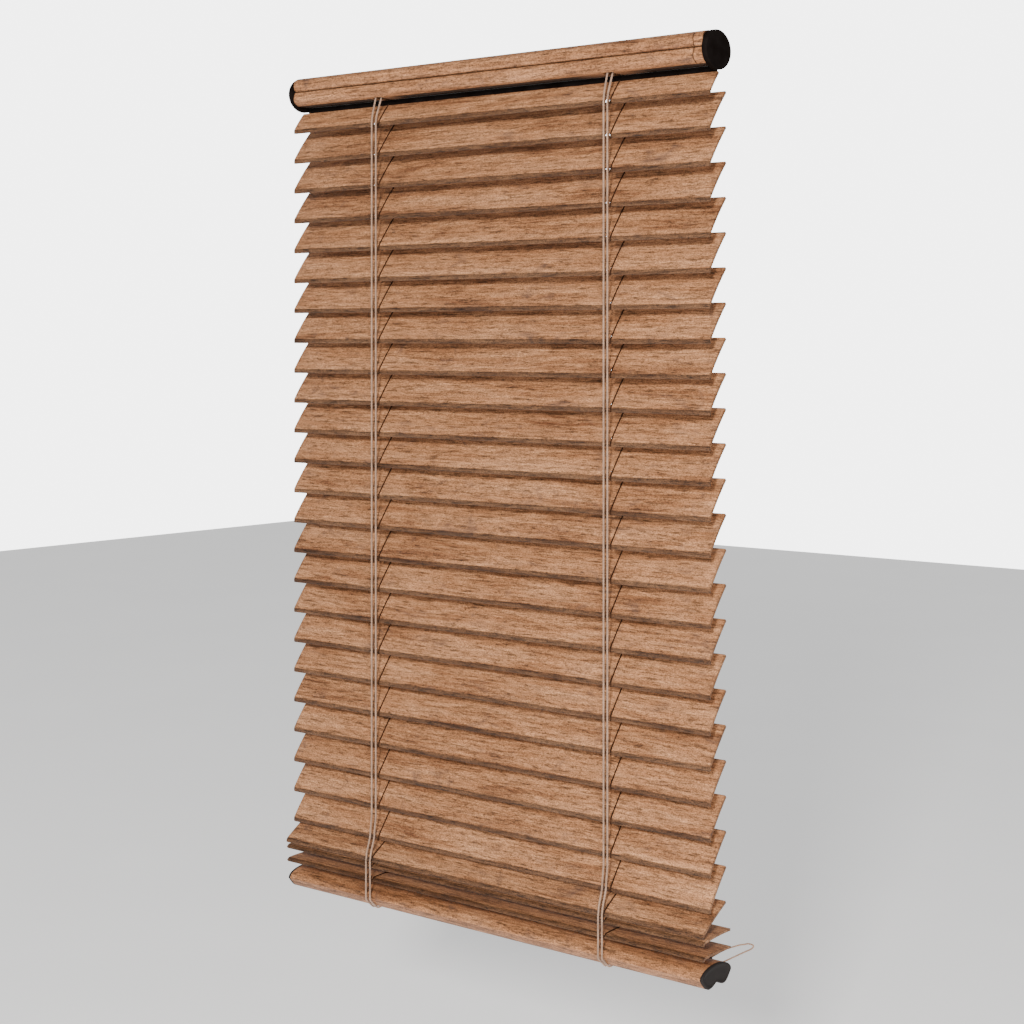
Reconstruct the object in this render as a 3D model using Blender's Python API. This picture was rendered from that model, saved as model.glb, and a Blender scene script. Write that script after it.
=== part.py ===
"""A wood-look Venetian blind, closed, with its slats' front edges down.

The origin is midway between the two mounting brackets, level with their top faces. +X runs along
the slats to the right, -Y is towards the room and +Z is up. Lengths are metres.
"""

import math

import bmesh
import bpy
from mathutils import Vector

# Driving dimensions.
SLAT_CHORD = 0.049
SLAT_LENGTH = 0.603
PITCH = 0.0365
HANGING_SLATS = 23  # full slats at the regular pitch, below the half-width top slat
CLEARANCE = 0.0003  # between two solids that touch in the real blind

# Slats. The section is a crowned face with a lip bent down along its front edge.
SLAT_THICKNESS = 0.0024
SLAT_CROWN = 0.0010
LIP_HEIGHT = 0.0043
CLOSED_TILT = math.radians(52)
TOP_PIVOT_Z = -0.05396
TOP_CHORD = 0.027
TOP_PIVOT_Y = -0.00683
FIRST_PIVOT_Z = -0.0818
SLIT_WIDTH = 0.0032
SLIT_END = 0.0178  # distance of a front slit's closed end from the slat's middle
REAR_SLIT_END = 0.0185
LOW_SLIT_END = 0.0115  # the front slits of the offset slat above the two flat ones
# Name, tilt, Y and Z of the flatter slats that rest on the bottom rail.
LOW_SLATS = (
    ("slat_25", math.radians(31), -0.0060, -0.9146),
    ("slat_26", math.radians(2.8), -0.0005, -0.9342),
    ("slat_27", 0.0, 0.0, -0.9515),
)

# Head rail: a hollow section with two rounded lobes in front and a flat top and back.
RAIL_Y = -0.001
RAIL_TOP = -0.0015
RAIL_HALF_HEIGHT = 0.0172
RAIL_Z = RAIL_TOP - RAIL_HALF_HEIGHT
RAIL_FRONT = 0.0205
RAIL_BACK = 0.0195
LOBE_DEPTH = 0.0125
LOBE_HALF_HEIGHT = 0.0085
GROOVE_DEPTH = 0.0045
BACK_RADIUS = 0.005
RAIL_WALL = 0.0014
COLLAR_LENGTH = 0.012
HEAD_CAP_SIZE = (0.006, 0.048, 0.0415)  # thickness, depth, height
HEAD_CAP_Z = -0.02095  # middle, so that the cap stays under the brackets' top faces
HEAD_CAP_BEVEL = 0.0008
HEAD_CAP_STEPS = 40
END_X = 0.303  # outer faces of the head rail's caps
SLOT_HALF_DEPTH = 0.0152
STRIP_Y = (0.0045, 0.0060)  # the black strip that closes the gap over the top slat
STRIP_BOTTOM = -0.0432
SLOT_SIDES = (-0.0105, 0.0045)  # the cord slot's edges in X, from the ladder cord

# Bottom rail: smooth on top, with two lobes underneath.
BOTTOM_Z = -0.9747
BOTTOM_HALF_DEPTH = 0.0275
BOTTOM_TOP = 0.0115
BOTTOM_UNDER = 0.0116
BOTTOM_GROOVE = 0.42  # share of the lobes' depth that the groove cuts away
BOTTOM_WALL = 0.0018
BOTTOM_END_X = 0.300
BOTTOM_CAP_THICKNESS = 0.003

# Cords: the X of the ladder cord and of the lift cord at each of the two stations.
CORD_RADIUS = 0.0012
STATIONS = {"left": (-0.1621, -0.1686), "right": (0.1744, 0.1694)}
FRONT_CORD_Y = 0.0195
REAR_CORD_Y = 0.021
CORD_TOP_Z = -0.026
LADDER_TOP_Y = 0.0098
LIFT_TOP_Y = 0.0125
# Bends between the rail and the hanging part: share of the way out in Y, and Z.
UPPER_BENDS = ((0.0, -0.034), (0.25, -0.041), (0.8, -0.055), (1.0, -0.065))
# Bends towards the bottom rail's side: share of the way out in Y, and height over the rail.
FRONT_BENDS = ((0.0, 0.095), (0.30, 0.070), (0.85, 0.053), (1.0, 0.043), (1.0, 0.0))
REAR_BENDS = ((0.0, 0.068), (0.30, 0.043), (0.62, 0.023), (0.80, 0.0095), (0.97, 0.0040), (1.0, 0.0))
# Places of the cord's points under the bottom rail, as shares of its half depth.
UNDER_SHARES = (0.985, 0.95, 0.88, 0.78, 0.66, 0.55, 0.44, 0.33, 0.2, 0.1, 0.0)
SIDE_SHARE = 0.8  # beyond this share the cord moves out round the rail's edge
PLUG_RADIUS = 0.0032
PLUG_TOP = -0.9840
PLUG_BOTTOM = -0.9886

# Tilt mechanism.
SHAFT_Z = -0.0165
SHAFT_SIDE = 0.005
SHAFT_ENDS = (-0.276, 0.266)
BORE_RADIUS = 0.0039
DRUM_RADIUS = 0.0078
DRUM_LENGTH = 0.010
CRADLE_INNER = 0.0115  # from the drum's middle to each bearing plate
PLATE = 0.0016
CRADLE_HALF_DEPTH = 0.0105
CRADLE_FOOT = -0.0285
WHEEL_X = 0.245
WHEEL_TEETH = 20
WHEEL_RADIUS = 0.0075
TOOTH_DEPTH = 0.0011
WHEEL_LENGTH = 0.006
WORM_RADIUS = 0.0026
WORM_JOURNAL = 0.0016
WORM_STEPS = 16
# Height from the shaft and radius of the worm's sections.
WORM_PROFILE = ((-0.0115, WORM_JOURNAL), (-0.0085, WORM_JOURNAL), (-0.0060, WORM_RADIUS),
                (0.0060, WORM_RADIUS), (0.0085, WORM_JOURNAL), (0.0110, WORM_JOURNAL))
HOUSING_HALF_HEIGHT = 0.0115
HOUSING_REACH = 0.013  # from the shaft to the back of the housing
HOUSING_SIDE = 0.0028  # from the wheel's face to the outside of the housing
CIRCLE_STEPS = 24

# Mounting brackets, screwed up through the top plate.
BRACKET_XS = {"left": -0.220, "right": 0.220}
BRACKET_WIDTH = 0.024
BRACKET_THICKNESS = 0.0012
BRACKET_FRONT = 0.002
BRACKET_LIP = 0.0085  # reach of the lip under the rail's back edge
SCREW_RADIUS = 0.0022
SCREW_Y = 0.010

# The small pull loop at the right, on its anchor behind the bottom rail.
LOOP_RADIUS = 0.0009
LOOP_POINTS = 60
ANCHOR_LOW = (0.2660, 0.0278, -0.9810)
ANCHOR_HIGH = (0.2740, 0.0312, -0.9650)
LOOP_ROUTE = (
    (0.2745, 0.0294, -0.9685),
    (0.2850, 0.0288, -0.9612),
    (0.2952, 0.0280, -0.9550),
    (0.3100, 0.0276, -0.9485),
    (0.3210, 0.0275, -0.9450),
    (0.3268, 0.0275, -0.9458),
    (0.3240, 0.0275, -0.9498),
    (0.3110, 0.0276, -0.9575),
    (0.2952, 0.0280, -0.9670),
    (0.2850, 0.0288, -0.9730),
    (0.2745, 0.0294, -0.9780),
)

WOOD = (0.42, 0.21, 0.11)
CORD_COLOUR = (0.55, 0.40, 0.32)
BLACK_PLASTIC = (0.012, 0.010, 0.010)
GREY_PLASTIC = (0.033, 0.030, 0.030)
STEEL = (0.62, 0.62, 0.60)
NYLON = (0.78, 0.77, 0.72)


def clear_scene():
    for obj in list(bpy.data.objects):
        bpy.data.objects.remove(obj, do_unlink=True)


def give_material(obj, colour, roughness, metallic=0.0):
    material = bpy.data.materials.new(obj.name)
    material.use_nodes = True
    shader = material.node_tree.nodes["Principled BSDF"]
    shader.inputs["Base Color"].default_value = (*colour, 1.0)
    shader.inputs["Roughness"].default_value = roughness
    shader.inputs["Metallic"].default_value = metallic
    obj.data.materials.clear()
    obj.data.materials.append(material)


def add_object(name, mesh, colour, roughness, metallic=0.0, smooth_angle=30):
    obj = bpy.data.objects.new(name, mesh)
    bpy.context.scene.collection.objects.link(obj)
    mesh.shade_smooth()
    mesh.set_sharp_from_angle(angle=math.radians(smooth_angle))
    give_material(obj, colour, roughness, metallic)
    return obj


def finish_mesh(name, bm):
    bmesh.ops.recalc_face_normals(bm, faces=bm.faces)
    mesh = bpy.data.meshes.new(name)
    bm.to_mesh(mesh)
    bm.free()
    return mesh


def extruded_mesh(name, outline, x_low, x_high, hole=None):
    """A closed prism along X of an outline in Y and Z, with an optional hole of as many points."""
    bm = bmesh.new()
    loops = []
    for points in [outline] + ([hole] if hole else []):
        loops.append([[bm.verts.new((x, y, z)) for y, z in points] for x in (x_low, x_high)])
    count = len(outline)
    for low, high in loops:
        for i in range(len(low)):
            j = (i + 1) % len(low)
            bm.faces.new((low[i], low[j], high[j], high[i]))
    if hole:
        for end in (0, 1):
            outer, inner = loops[0][end], loops[1][end]
            for i in range(count):
                j = (i + 1) % count
                bm.faces.new((outer[i], outer[j], inner[j], inner[i]))
    else:
        for end in loops[0]:
            bm.faces.new(end)
    return finish_mesh(name, bm)


def box_mesh(name, low, high):
    outline = [(low[1], low[2]), (high[1], low[2]), (high[1], high[2]), (low[1], high[2])]
    return extruded_mesh(name, outline, low[0], high[0])


def ellipse_arc(centre, radii, start, end, steps):
    """Points on an ellipse in Y and Z, from one angle to another, in degrees from +Y to +Z."""
    points = []
    for i in range(steps + 1):
        angle = math.radians(start + (end - start) * i / steps)
        points.append((centre[0] + radii[0] * math.cos(angle), centre[1] + radii[1] * math.sin(angle)))
    return points


def without_repeats(points):
    kept = [points[0]]
    for point in points[1:]:
        if math.dist(point, kept[-1]) > 1e-6:
            kept.append(point)
    return kept


def lofted_mesh(name, sections):
    """A closed body through sections of as many points each, with flat ends."""
    bm = bmesh.new()
    loops = [[bm.verts.new(point) for point in section] for section in sections]
    for first, second in zip(loops, loops[1:]):
        for i in range(len(first)):
            j = (i + 1) % len(first)
            bm.faces.new((first[i], first[j], second[j], second[i]))
    bm.faces.new(loops[0])
    bm.faces.new(loops[-1])
    return finish_mesh(name, bm)


# Slats -----------------------------------------------------------------------------------------

def slat_stations(chord, front_end, rear_end):
    """Distances from the pivot, rear edge first: the edge, the slits' ends, the crown and the ridge."""
    half = chord / 2
    return [half, rear_end, rear_end / 3, -front_end / 3, -front_end, -half]


def slat_section(chord, stations):
    """Middle points of the section lying flat and the unit normals at them, lip last."""
    half = chord / 2
    crown = SLAT_CROWN * chord / SLAT_CHORD
    points = [Vector((s, crown * (1 - (s / half) ** 2))) for s in stations]
    lip = Vector((-math.sin(CLOSED_TILT), -math.cos(CLOSED_TILT)))
    points.append(points[-1] + LIP_HEIGHT * lip)
    normals = []
    for i in range(len(points)):
        before = points[i] - points[i - 1] if i > 0 else points[1] - points[0]
        after = points[i + 1] - points[i] if i < len(points) - 1 else before
        first = Vector((before.y, -before.x)).normalized()
        second = Vector((after.y, -after.x)).normalized()
        mitre = (first + second).normalized()
        normals.append(mitre / mitre.dot(first))
    return points, normals


def slat_mesh(name, chord, front_end, rear_end):
    """One slat lying flat, with a slit at each cord that is open to the slat's edge."""
    slits = sorted(x for pair in STATIONS.values() for x in pair)
    columns = [-SLAT_LENGTH / 2]
    for x in slits:
        columns += [x - SLIT_WIDTH / 2, x + SLIT_WIDTH / 2]
    columns.append(SLAT_LENGTH / 2)
    has_rear = rear_end is not None
    stations = slat_stations(chord, front_end, rear_end if has_rear else chord / 4)
    points, normals = slat_section(chord, stations)
    rows = len(points) - 1
    open_rows = {rows - 1, rows - 2} | ({0} if has_rear else set())

    def solid(column, row):
        inside = 0 <= column < len(columns) - 1 and 0 <= row < rows
        return inside and not (column % 2 == 1 and row in open_rows)

    bm = bmesh.new()
    made = {}

    def vert(column, row, side):
        key = (column, row, side)
        if key not in made:
            y, z = points[row] + normals[row] * side * SLAT_THICKNESS / 2
            made[key] = bm.verts.new((columns[column], y, z))
        return made[key]

    for c in range(len(columns) - 1):
        for r in range(rows):
            if not solid(c, r):
                continue
            for side in (1, -1):
                corners = [(c, r), (c + 1, r), (c + 1, r + 1), (c, r + 1)]
                bm.faces.new([vert(*corner, side) for corner in corners[::side]])
            for (dc, dr), ends in (
                ((-1, 0), ((c, r), (c, r + 1))),
                ((1, 0), ((c + 1, r), (c + 1, r + 1))),
                ((0, -1), ((c, r), (c + 1, r))),
                ((0, 1), ((c, r + 1), (c + 1, r + 1))),
            ):
                if not solid(c + dc, r + dr):
                    a, b = ends
                    bm.faces.new([vert(*a, 1), vert(*b, 1), vert(*b, -1), vert(*a, -1)])
    return finish_mesh(name, bm)


def place_slat(name, mesh, tilt, y, z):
    obj = add_object(name, mesh.copy(), WOOD, 0.45, smooth_angle=35)
    obj.location = (0, y, z)
    obj.rotation_euler = (tilt, 0, 0)


def make_slats():
    top = slat_mesh("top_slat", TOP_CHORD, TOP_CHORD / 4, None)
    place_slat("slat_01", top, CLOSED_TILT, TOP_PIVOT_Y, TOP_PIVOT_Z)
    regular = slat_mesh("slat", SLAT_CHORD, SLIT_END, REAR_SLIT_END)
    for i in range(HANGING_SLATS):
        place_slat(f"slat_{i + 2:02d}", regular, CLOSED_TILT, 0.0, FIRST_PIVOT_Z - PITCH * i)
    offset = slat_mesh("low_slat", SLAT_CHORD, LOW_SLIT_END, REAR_SLIT_END)
    for i, (name, tilt, y, z) in enumerate(LOW_SLATS):
        place_slat(name, offset if i == 0 else regular, tilt, y, z)


# Head rail -------------------------------------------------------------------------------------

def rail_outline(wall=0.0):
    """The head rail's section as a closed outline, as many points at any wall thickness."""
    back, top, front = RAIL_BACK - wall, RAIL_HALF_HEIGHT - wall, RAIL_FRONT - wall
    radius = BACK_RADIUS - wall
    lobe = LOBE_HALF_HEIGHT - wall / 2
    groove = front - GROOVE_DEPTH
    lobe_y = -RAIL_FRONT + LOBE_DEPTH
    upper = ellipse_arc((back - radius, top - radius), (radius, radius), 0, 90, 3)
    upper += ellipse_arc((lobe_y, top - lobe), (front + lobe_y, lobe), 90, 180, 7)
    upper += ellipse_arc((-groove, top - lobe), (GROOVE_DEPTH, top - lobe), 180, 270, 4)[1:]
    lower = [(y, -z) for y, z in upper[::-1]]
    outline = without_repeats(upper[:-1] + [(-groove, 0.0)] + lower[1:])
    return [(RAIL_Y + y, RAIL_Z + z) for y, z in outline]


def add_cutter(name, mesh, target):
    cutter = bpy.data.objects.new(name, mesh)
    bpy.context.scene.collection.objects.link(cutter)
    cutter.hide_render = True
    cutter.display_type = "WIRE"
    cut = target.modifiers.new(name, "BOOLEAN")
    cut.object = cutter
    cut.operation = "DIFFERENCE"


def make_end_cap(name, outer_x, inward):
    """A thin oval plate with a bevelled rim that closes an end of the head rail."""
    thickness, depth, height = HEAD_CAP_SIZE
    rings = (
        (outer_x + inward * thickness, 0.0),
        (outer_x + inward * HEAD_CAP_BEVEL, 0.0),
        (outer_x, HEAD_CAP_BEVEL),
    )
    sections = []
    for x, inset in rings:
        radii = (depth / 2 - inset, height / 2 - inset)
        oval = ellipse_arc((RAIL_Y, HEAD_CAP_Z), radii, 0, 360, HEAD_CAP_STEPS)[:-1]
        sections.append([(x, y, z) for y, z in oval])
    add_object(name, lofted_mesh(name, sections), BLACK_PLASTIC, 0.45)


def make_head_rail():
    cap = HEAD_CAP_SIZE[0]
    collar_end = END_X - cap - CLEARANCE
    rail_end = collar_end - COLLAR_LENGTH - CLEARANCE
    outer, inner = rail_outline(), rail_outline(RAIL_WALL)
    mesh = extruded_mesh("head_rail", outer, -END_X + cap + CLEARANCE, rail_end, inner)
    rail = add_object("head_rail", mesh, WOOD, 0.45)
    for side, (ladder_x, _) in STATIONS.items():
        low = (ladder_x + SLOT_SIDES[0], -SLOT_HALF_DEPTH, RAIL_Z - RAIL_HALF_HEIGHT - RAIL_WALL)
        high = (ladder_x + SLOT_SIDES[1], SLOT_HALF_DEPTH, RAIL_Z - RAIL_HALF_HEIGHT + 3 * RAIL_WALL)
        name = f"cord_slot_{side}"
        add_cutter(name, box_mesh(name, low, high), rail)
    collar = extruded_mesh("head_collar", outer, rail_end + CLEARANCE, collar_end, inner)
    add_object("head_collar", collar, WOOD, 0.45)
    low = (-END_X + cap + CLEARANCE, STRIP_Y[0], STRIP_BOTTOM)
    high = (collar_end, STRIP_Y[1], RAIL_Z - RAIL_HALF_HEIGHT - CLEARANCE)
    add_object("light_strip", box_mesh("light_strip", low, high), BLACK_PLASTIC, 0.8)
    make_end_cap("head_cap_left", -END_X, 1)
    make_end_cap("head_cap_right", END_X, -1)


# Bottom rail -----------------------------------------------------------------------------------

def under_depth(y, half, under):
    """Depth of the underside below the rail's middle, at a distance from its middle in Y."""
    share = abs(y) / half
    depth = math.sin(math.pi * min(share, 1.0))
    if share < 0.5:
        depth = (1 - BOTTOM_GROOVE) + BOTTOM_GROOVE * depth
    return under * depth


def bottom_outline(inset=0.0):
    """A half oval on top and two lobes side by side underneath, as many points at any inset."""
    half = BOTTOM_HALF_DEPTH - inset
    points = ellipse_arc((0, 0), (half, BOTTOM_TOP - inset), 0, 180, 18)
    steps = 16
    for i in range(1, steps):
        y = -half * math.cos(math.pi * i / steps)
        points.append((y, -under_depth(y, half, BOTTOM_UNDER - inset)))
    return [(y, BOTTOM_Z + z) for y, z in points]


def make_bottom_rail():
    rail_end = BOTTOM_END_X - BOTTOM_CAP_THICKNESS - CLEARANCE
    mesh = extruded_mesh("bottom_rail", bottom_outline(), -rail_end, rail_end, bottom_outline(BOTTOM_WALL))
    add_object("bottom_rail", mesh, WOOD, 0.45)
    for side, sign in (("left", -1), ("right", 1)):
        name = f"bottom_cap_{side}"
        xs = sorted((sign * (rail_end + CLEARANCE), sign * BOTTOM_END_X))
        add_object(name, extruded_mesh(name, bottom_outline(), *xs), GREY_PLASTIC, 0.5)


# Cords -----------------------------------------------------------------------------------------

def make_cord(name, points, radius):
    curve = bpy.data.curves.new(name, "CURVE")
    curve.dimensions = "3D"
    curve.bevel_depth = radius
    curve.bevel_resolution = 2
    curve.use_fill_caps = True
    spline = curve.splines.new("POLY")
    spline.points.add(len(points) - 1)
    for point, place in zip(spline.points, points):
        point.co = (*place, 1.0)
    obj = bpy.data.objects.new(name, curve)
    bpy.context.scene.collection.objects.link(obj)
    give_material(obj, CORD_COLOUR, 0.9)


def upper_route(top_y, hang_y):
    """Y and Z of a cord from inside the head rail down to where it hangs straight."""
    reach = hang_y - top_y
    return [(top_y, CORD_TOP_Z)] + [(top_y + share * reach, z) for share, z in UPPER_BENDS]


def round_rail_route(hang_y, bends, reach):
    """Y and Z of a cord round one side of the bottom rail, from its straight part to a point this
    far from the rail's middle underneath."""
    gap = CORD_RADIUS + 2 * CLEARANCE
    spread = BOTTOM_HALF_DEPTH + gap - hang_y
    route = [(hang_y + share * spread, BOTTOM_Z + height) for share, height in bends]
    for share in UNDER_SHARES:
        y = share * BOTTOM_HALF_DEPTH
        if y < reach:
            break
        depth = under_depth(y, BOTTOM_HALF_DEPTH, BOTTOM_UNDER)
        slant = gap * max(0.0, (share - SIDE_SHARE) / (1 - SIDE_SHARE))
        route.append((y + slant, BOTTOM_Z - depth - gap))
    return route


def make_cords():
    for side, (ladder_x, lift_x) in STATIONS.items():
        lift = []
        for face, sign, hang_y, bends in (
            ("front", -1, FRONT_CORD_Y, FRONT_BENDS),
            ("rear", 1, REAR_CORD_Y, REAR_BENDS),
        ):
            route = upper_route(LADDER_TOP_Y, hang_y)
            route += round_rail_route(hang_y, bends, PLUG_RADIUS + CORD_RADIUS)
            places = [(ladder_x, sign * y, z) for y, z in route]
            make_cord(f"ladder_{face}_{side}", places, CORD_RADIUS)
            lift.append(upper_route(LIFT_TOP_Y, hang_y) + round_rail_route(hang_y, bends, 0.0))
        front, rear = lift
        places = [(lift_x, -y, z) for y, z in front] + [(lift_x, y, z) for y, z in rear[-2::-1]]
        make_cord(f"lift_cord_{side}", places, CORD_RADIUS)
        name = f"cord_plug_{side}"
        ring = [(math.cos(math.tau * i / CIRCLE_STEPS), math.sin(math.tau * i / CIRCLE_STEPS))
                for i in range(CIRCLE_STEPS)]
        sections = [[(ladder_x + PLUG_RADIUS * c, PLUG_RADIUS * s, z) for c, s in ring]
                    for z in (PLUG_BOTTOM, PLUG_TOP)]
        add_object(name, lofted_mesh(name, sections), WOOD, 0.5)


def smooth_route(points, count):
    """Evenly spaced points on a Catmull-Rom curve through the given points."""
    route = [Vector(p) for p in points]
    route = [2 * route[0] - route[1]] + route + [2 * route[-1] - route[-2]]
    dense = []
    for k in range(1, len(route) - 2):
        p0, p1, p2, p3 = route[k - 1 : k + 3]
        for i in range(24):
            t = i / 24
            dense.append(
                0.5 * (2 * p1 + (p2 - p0) * t + (2 * p0 - 5 * p1 + 4 * p2 - p3) * t * t
                       + (3 * p1 - p0 - 3 * p2 + p3) * t ** 3)
            )
    dense.append(route[-2])
    lengths = [0.0]
    for a, b in zip(dense, dense[1:]):
        lengths.append(lengths[-1] + (b - a).length)
    spaced, k = [], 0
    for i in range(count):
        target = lengths[-1] * i / (count - 1)
        while k < len(lengths) - 2 and lengths[k + 1] < target:
            k += 1
        share = (target - lengths[k]) / (lengths[k + 1] - lengths[k])
        spaced.append(dense[k].lerp(dense[k + 1], min(max(share, 0.0), 1.0)))
    return spaced


def make_pull_loop():
    make_cord("pull_loop", smooth_route(LOOP_ROUTE, LOOP_POINTS), LOOP_RADIUS)
    mesh = box_mesh("loop_anchor", ANCHOR_LOW, ANCHOR_HIGH)
    add_object("loop_anchor", mesh, GREY_PLASTIC, 0.5)


# Tilt mechanism --------------------------------------------------------------------------------

def shaft_circle(radius, steps=CIRCLE_STEPS, phase=0.0):
    return ellipse_arc((RAIL_Y, SHAFT_Z), (radius, radius), phase, 360 + phase, steps)[:-1]


def bent_plate(name, profile, low, high, axis):
    """A prism of a profile, along Y for a profile in X and Z, or along Z for one in X and Y."""
    if axis == "Y":
        sections = [[(a, end, b) for a, b in profile] for end in (low, high)]
    else:
        sections = [[(a, b, end) for a, b in profile] for end in (low, high)]
    return add_object(name, lofted_mesh(name, sections), NYLON, 0.5)


def make_shaft():
    square = shaft_circle(SHAFT_SIDE / math.sqrt(2), 4, 45)
    add_object("tilt_shaft", extruded_mesh("tilt_shaft", square, *SHAFT_ENDS), STEEL, 0.35, 1.0)


def make_drums():
    """At each station a drum on the shaft, in a cradle of two bearing plates joined over it."""
    top = RAIL_TOP - RAIL_WALL - 2 * CLEARANCE
    for side, (x, _) in STATIONS.items():
        low, high = x - DRUM_LENGTH / 2, x + DRUM_LENGTH / 2
        name = f"tilt_drum_{side}"
        mesh = extruded_mesh(name, shaft_circle(DRUM_RADIUS), low, high, shaft_circle(BORE_RADIUS))
        add_object(name, mesh, NYLON, 0.5)
        inner, outer = CRADLE_INNER, CRADLE_INNER + PLATE
        profile = [(x - outer, CRADLE_FOOT), (x - inner, CRADLE_FOOT), (x - inner, top - PLATE),
                   (x + inner, top - PLATE), (x + inner, CRADLE_FOOT), (x + outer, CRADLE_FOOT),
                   (x + outer, top), (x - outer, top)]
        rear = RAIL_Y + CRADLE_HALF_DEPTH
        cradle = bent_plate(f"drum_cradle_{side}", profile, RAIL_Y - CRADLE_HALF_DEPTH, rear, "Y")
        name = f"bearing_{side}"
        bore = extruded_mesh(name, shaft_circle(BORE_RADIUS), x - 2 * outer, x + 2 * outer)
        add_cutter(name, bore, cradle)


def make_tilter():
    """The worm wheel on the shaft, the upright worm beside it and the housing round them."""
    outline = []
    for i in range(WHEEL_TEETH * 2):
        radius = WHEEL_RADIUS - TOOTH_DEPTH * (i % 2)
        angle = math.pi * i / WHEEL_TEETH
        outline.append((RAIL_Y + radius * math.cos(angle), SHAFT_Z + radius * math.sin(angle)))
    half = WHEEL_LENGTH / 2
    bore = shaft_circle(BORE_RADIUS, WHEEL_TEETH * 2)
    mesh = extruded_mesh("worm_wheel", outline, WHEEL_X - half, WHEEL_X + half, bore)
    add_object("worm_wheel", mesh, NYLON, 0.5)

    worm_y = RAIL_Y - WHEEL_RADIUS - WORM_RADIUS - CLEARANCE
    sections = [
        [(radius * math.cos(math.tau * i / WORM_STEPS), radius * math.sin(math.tau * i / WORM_STEPS), z)
         for i in range(WORM_STEPS)]
        for z, radius in WORM_PROFILE
    ]
    worm = add_object("tilter_worm", lofted_mesh("tilter_worm", sections), STEEL, 0.4, 0.6)
    worm.location = (WHEEL_X, worm_y, SHAFT_Z)

    low, high = WHEEL_X - half - HOUSING_SIDE, WHEEL_X + half + HOUSING_SIDE
    front, rear = worm_y - WORM_RADIUS, RAIL_Y + HOUSING_REACH
    profile = [(low, front), (low, rear), (high, rear), (high, front), (high - PLATE, front),
               (high - PLATE, rear - PLATE), (low + PLATE, rear - PLATE), (low + PLATE, front)]
    housing = bent_plate("tilter_housing", profile, SHAFT_Z - HOUSING_HALF_HEIGHT,
                         SHAFT_Z + HOUSING_HALF_HEIGHT, "Z")
    hole = extruded_mesh("shaft_hole", shaft_circle(BORE_RADIUS), low - PLATE, high + PLATE)
    add_cutter("shaft_hole", hole, housing)


# Brackets --------------------------------------------------------------------------------------

def make_brackets():
    """A top plate over the rail, a leg down its back and a lip under its back edge."""
    steel = BRACKET_THICKNESS
    back = RAIL_Y + RAIL_BACK + CLEARANCE
    under = RAIL_Z - RAIL_HALF_HEIGHT - CLEARANCE
    lip = back - BRACKET_LIP
    outline = [(BRACKET_FRONT, 0.0), (BRACKET_FRONT, -steel), (back, -steel), (back, under),
               (lip, under), (lip, under - steel), (back + steel, under - steel), (back + steel, 0.0)]
    for side, x in BRACKET_XS.items():
        name = f"bracket_{side}"
        mesh = extruded_mesh(name, outline, x - BRACKET_WIDTH / 2, x + BRACKET_WIDTH / 2)
        bracket = add_object(name, mesh, STEEL, 0.4, 1.0)
        ring = [(math.cos(math.tau * i / WORM_STEPS), math.sin(math.tau * i / WORM_STEPS))
                for i in range(WORM_STEPS)]
        sections = [[(x + SCREW_RADIUS * c, SCREW_Y + SCREW_RADIUS * s, z) for c, s in ring]
                    for z in (-2 * steel, steel)]
        add_cutter(f"screw_hole_{side}", lofted_mesh(f"screw_hole_{side}", sections), bracket)


clear_scene()
make_head_rail()
make_slats()
make_bottom_rail()
make_cords()
make_pull_loop()
make_shaft()
make_drums()
make_tilter()
make_brackets()
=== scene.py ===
"""The Venetian blind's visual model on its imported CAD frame, in metres, with -Y towards the room."""

import math
import random

import bmesh
import bpy
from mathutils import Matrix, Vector


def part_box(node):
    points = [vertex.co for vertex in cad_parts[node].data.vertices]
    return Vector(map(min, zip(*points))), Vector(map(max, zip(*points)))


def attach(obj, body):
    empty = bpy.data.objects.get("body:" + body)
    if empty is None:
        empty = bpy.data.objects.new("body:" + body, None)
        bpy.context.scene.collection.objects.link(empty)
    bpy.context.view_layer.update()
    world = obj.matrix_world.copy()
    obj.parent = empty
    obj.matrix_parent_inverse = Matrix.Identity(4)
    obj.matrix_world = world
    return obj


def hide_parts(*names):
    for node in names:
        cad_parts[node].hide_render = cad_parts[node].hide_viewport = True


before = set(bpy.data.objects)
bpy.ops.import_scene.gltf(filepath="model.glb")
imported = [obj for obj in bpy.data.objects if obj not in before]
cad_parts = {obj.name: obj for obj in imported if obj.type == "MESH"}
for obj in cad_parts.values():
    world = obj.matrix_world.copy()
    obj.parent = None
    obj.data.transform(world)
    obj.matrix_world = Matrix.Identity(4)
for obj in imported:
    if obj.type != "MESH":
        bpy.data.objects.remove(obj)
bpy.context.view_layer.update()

# Dimensions shared with the CAD model.
SLAT_CHORD = 0.049
SLAT_LENGTH = 0.603
PITCH = 0.0365
SLAT_THICKNESS = 0.0024
SLAT_CROWN = 0.0010
LIP_HEIGHT = 0.0043
CLOSED_TILT = math.radians(52)
SLIT_WIDTH = 0.0026  # narrower than in the CAD model, and still wider than a cord
SLIT_END, REAR_SLIT_END, LOW_SLIT_END = 0.0178, 0.0185, 0.0115
TOP_CHORD = 0.027
TOP_SLIT_END = TOP_CHORD / 4
TOP_PIVOT_Y, TOP_PIVOT_Z = -0.00683, -0.05396
FIRST_PIVOT_Z = -0.0818
HANGING_SLATS = 23  # full slats at the regular pitch
TILTING_SLATS = 25  # the first ones, each a body of its own
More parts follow.
